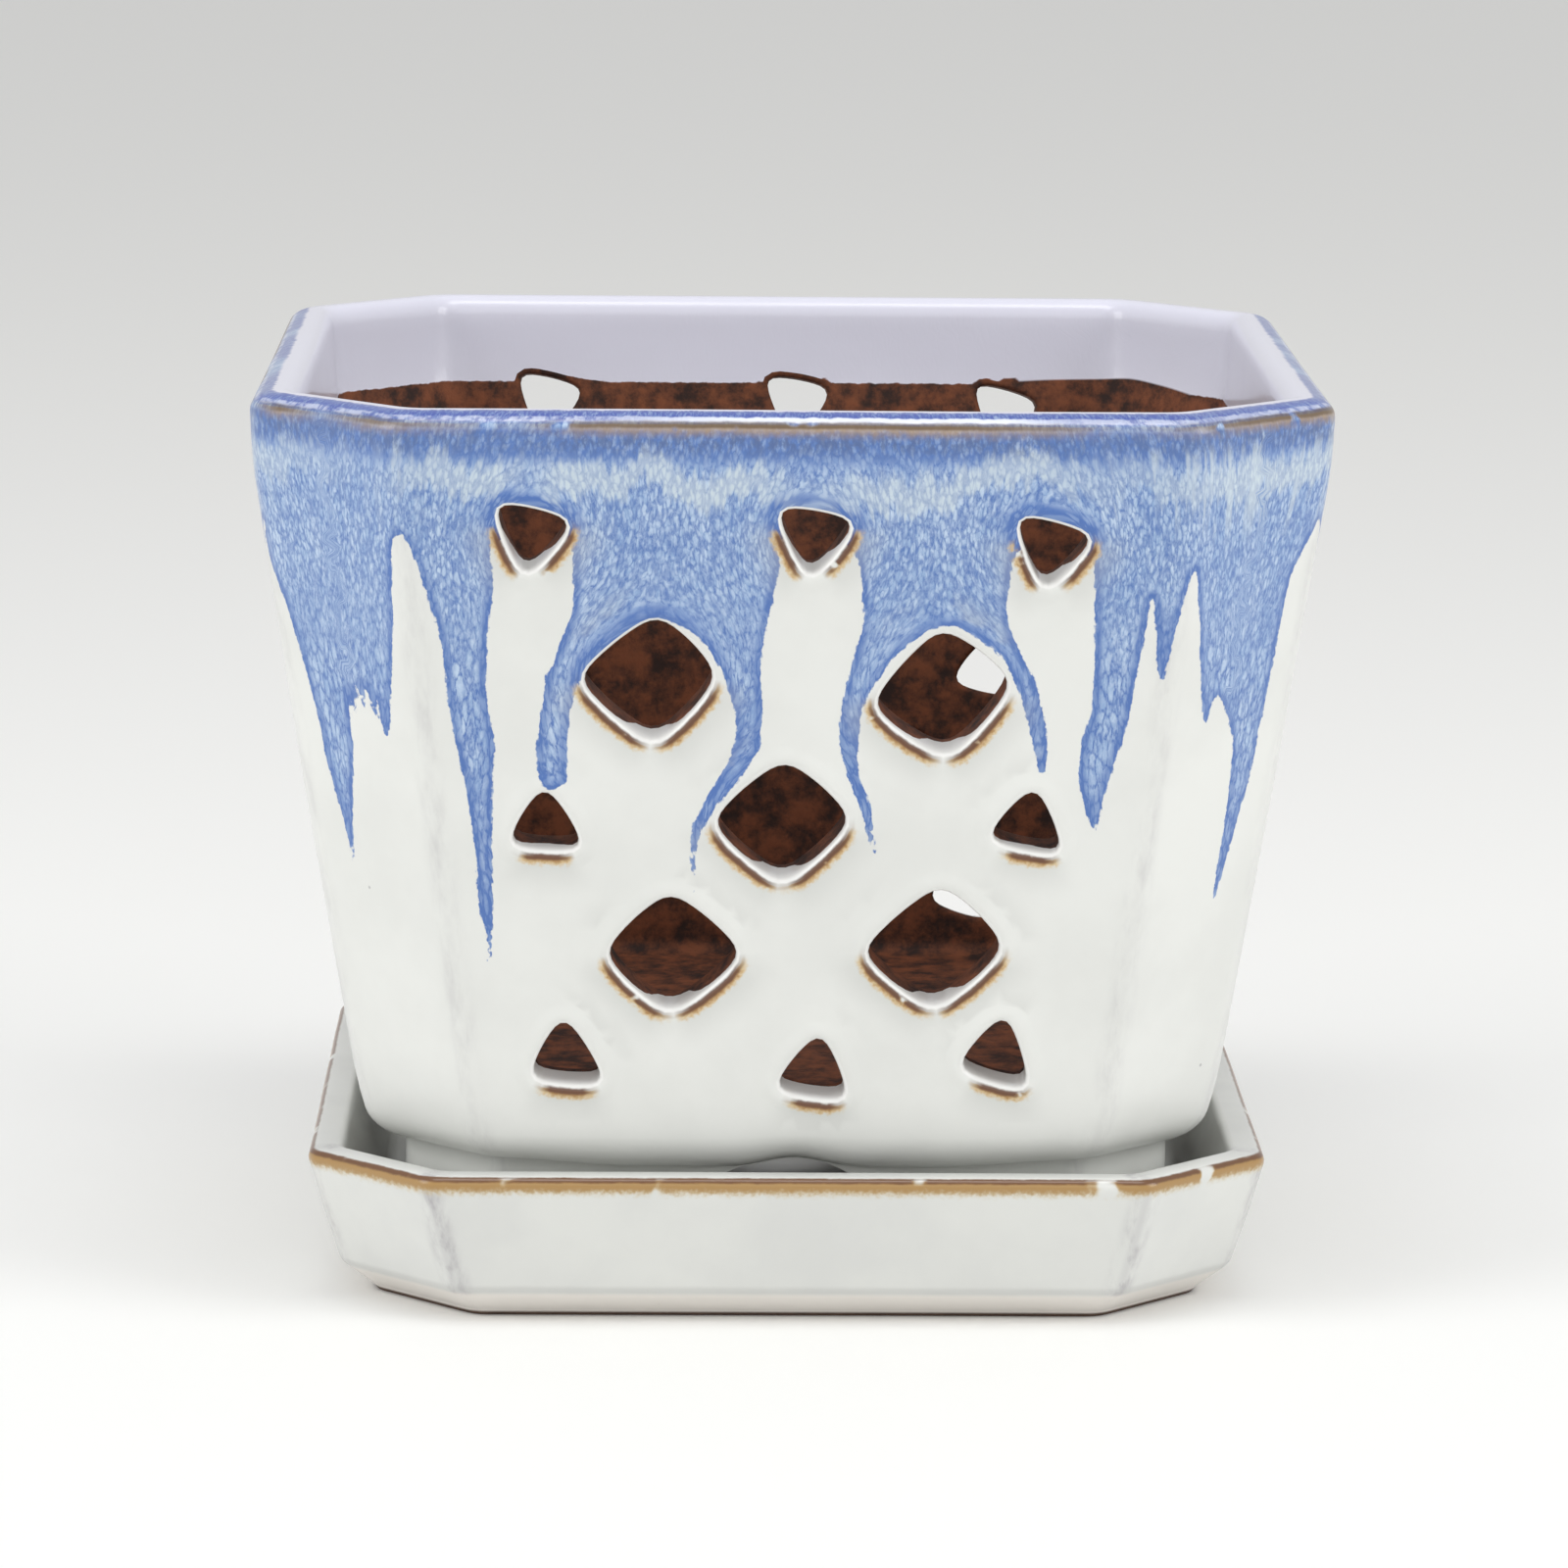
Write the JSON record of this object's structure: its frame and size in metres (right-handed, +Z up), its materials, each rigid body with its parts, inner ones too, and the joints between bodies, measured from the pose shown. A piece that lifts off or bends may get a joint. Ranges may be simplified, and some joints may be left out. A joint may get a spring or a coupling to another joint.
{
  "type": "orchid pot with saucer",
  "caption": "Square stoneware orchid pot with cut corners, leaning walls pierced by diamond and triangle slots, a notched foot and a drain hole, standing loose in a matching saucer.",
  "frame": {"origin": "on the ground, under the centre of the saucer", "axes": "+Z up, the front wall faces -Y, +X to the right as seen from the front"},
  "size_m": [0.2096, 0.2096, 0.1802],
  "materials": {
    "pot_glaze": "glossy off-white glaze with blue glaze running down from the rim and brown edges",
    "saucer_glaze": "glossy off-white glaze with a brown line along the rim"
  },
  "bodies": {
    "saucer": {"saucer": "saucer_glaze"},
    "pot": {"pot": "pot_glaze"}
  },
  "joints": [
    {"name": "pot_lift", "type": "slide", "parent": "saucer", "child": "pot", "axis": [0, 0, 1], "range_m": [0, 0.06]}
  ]
}
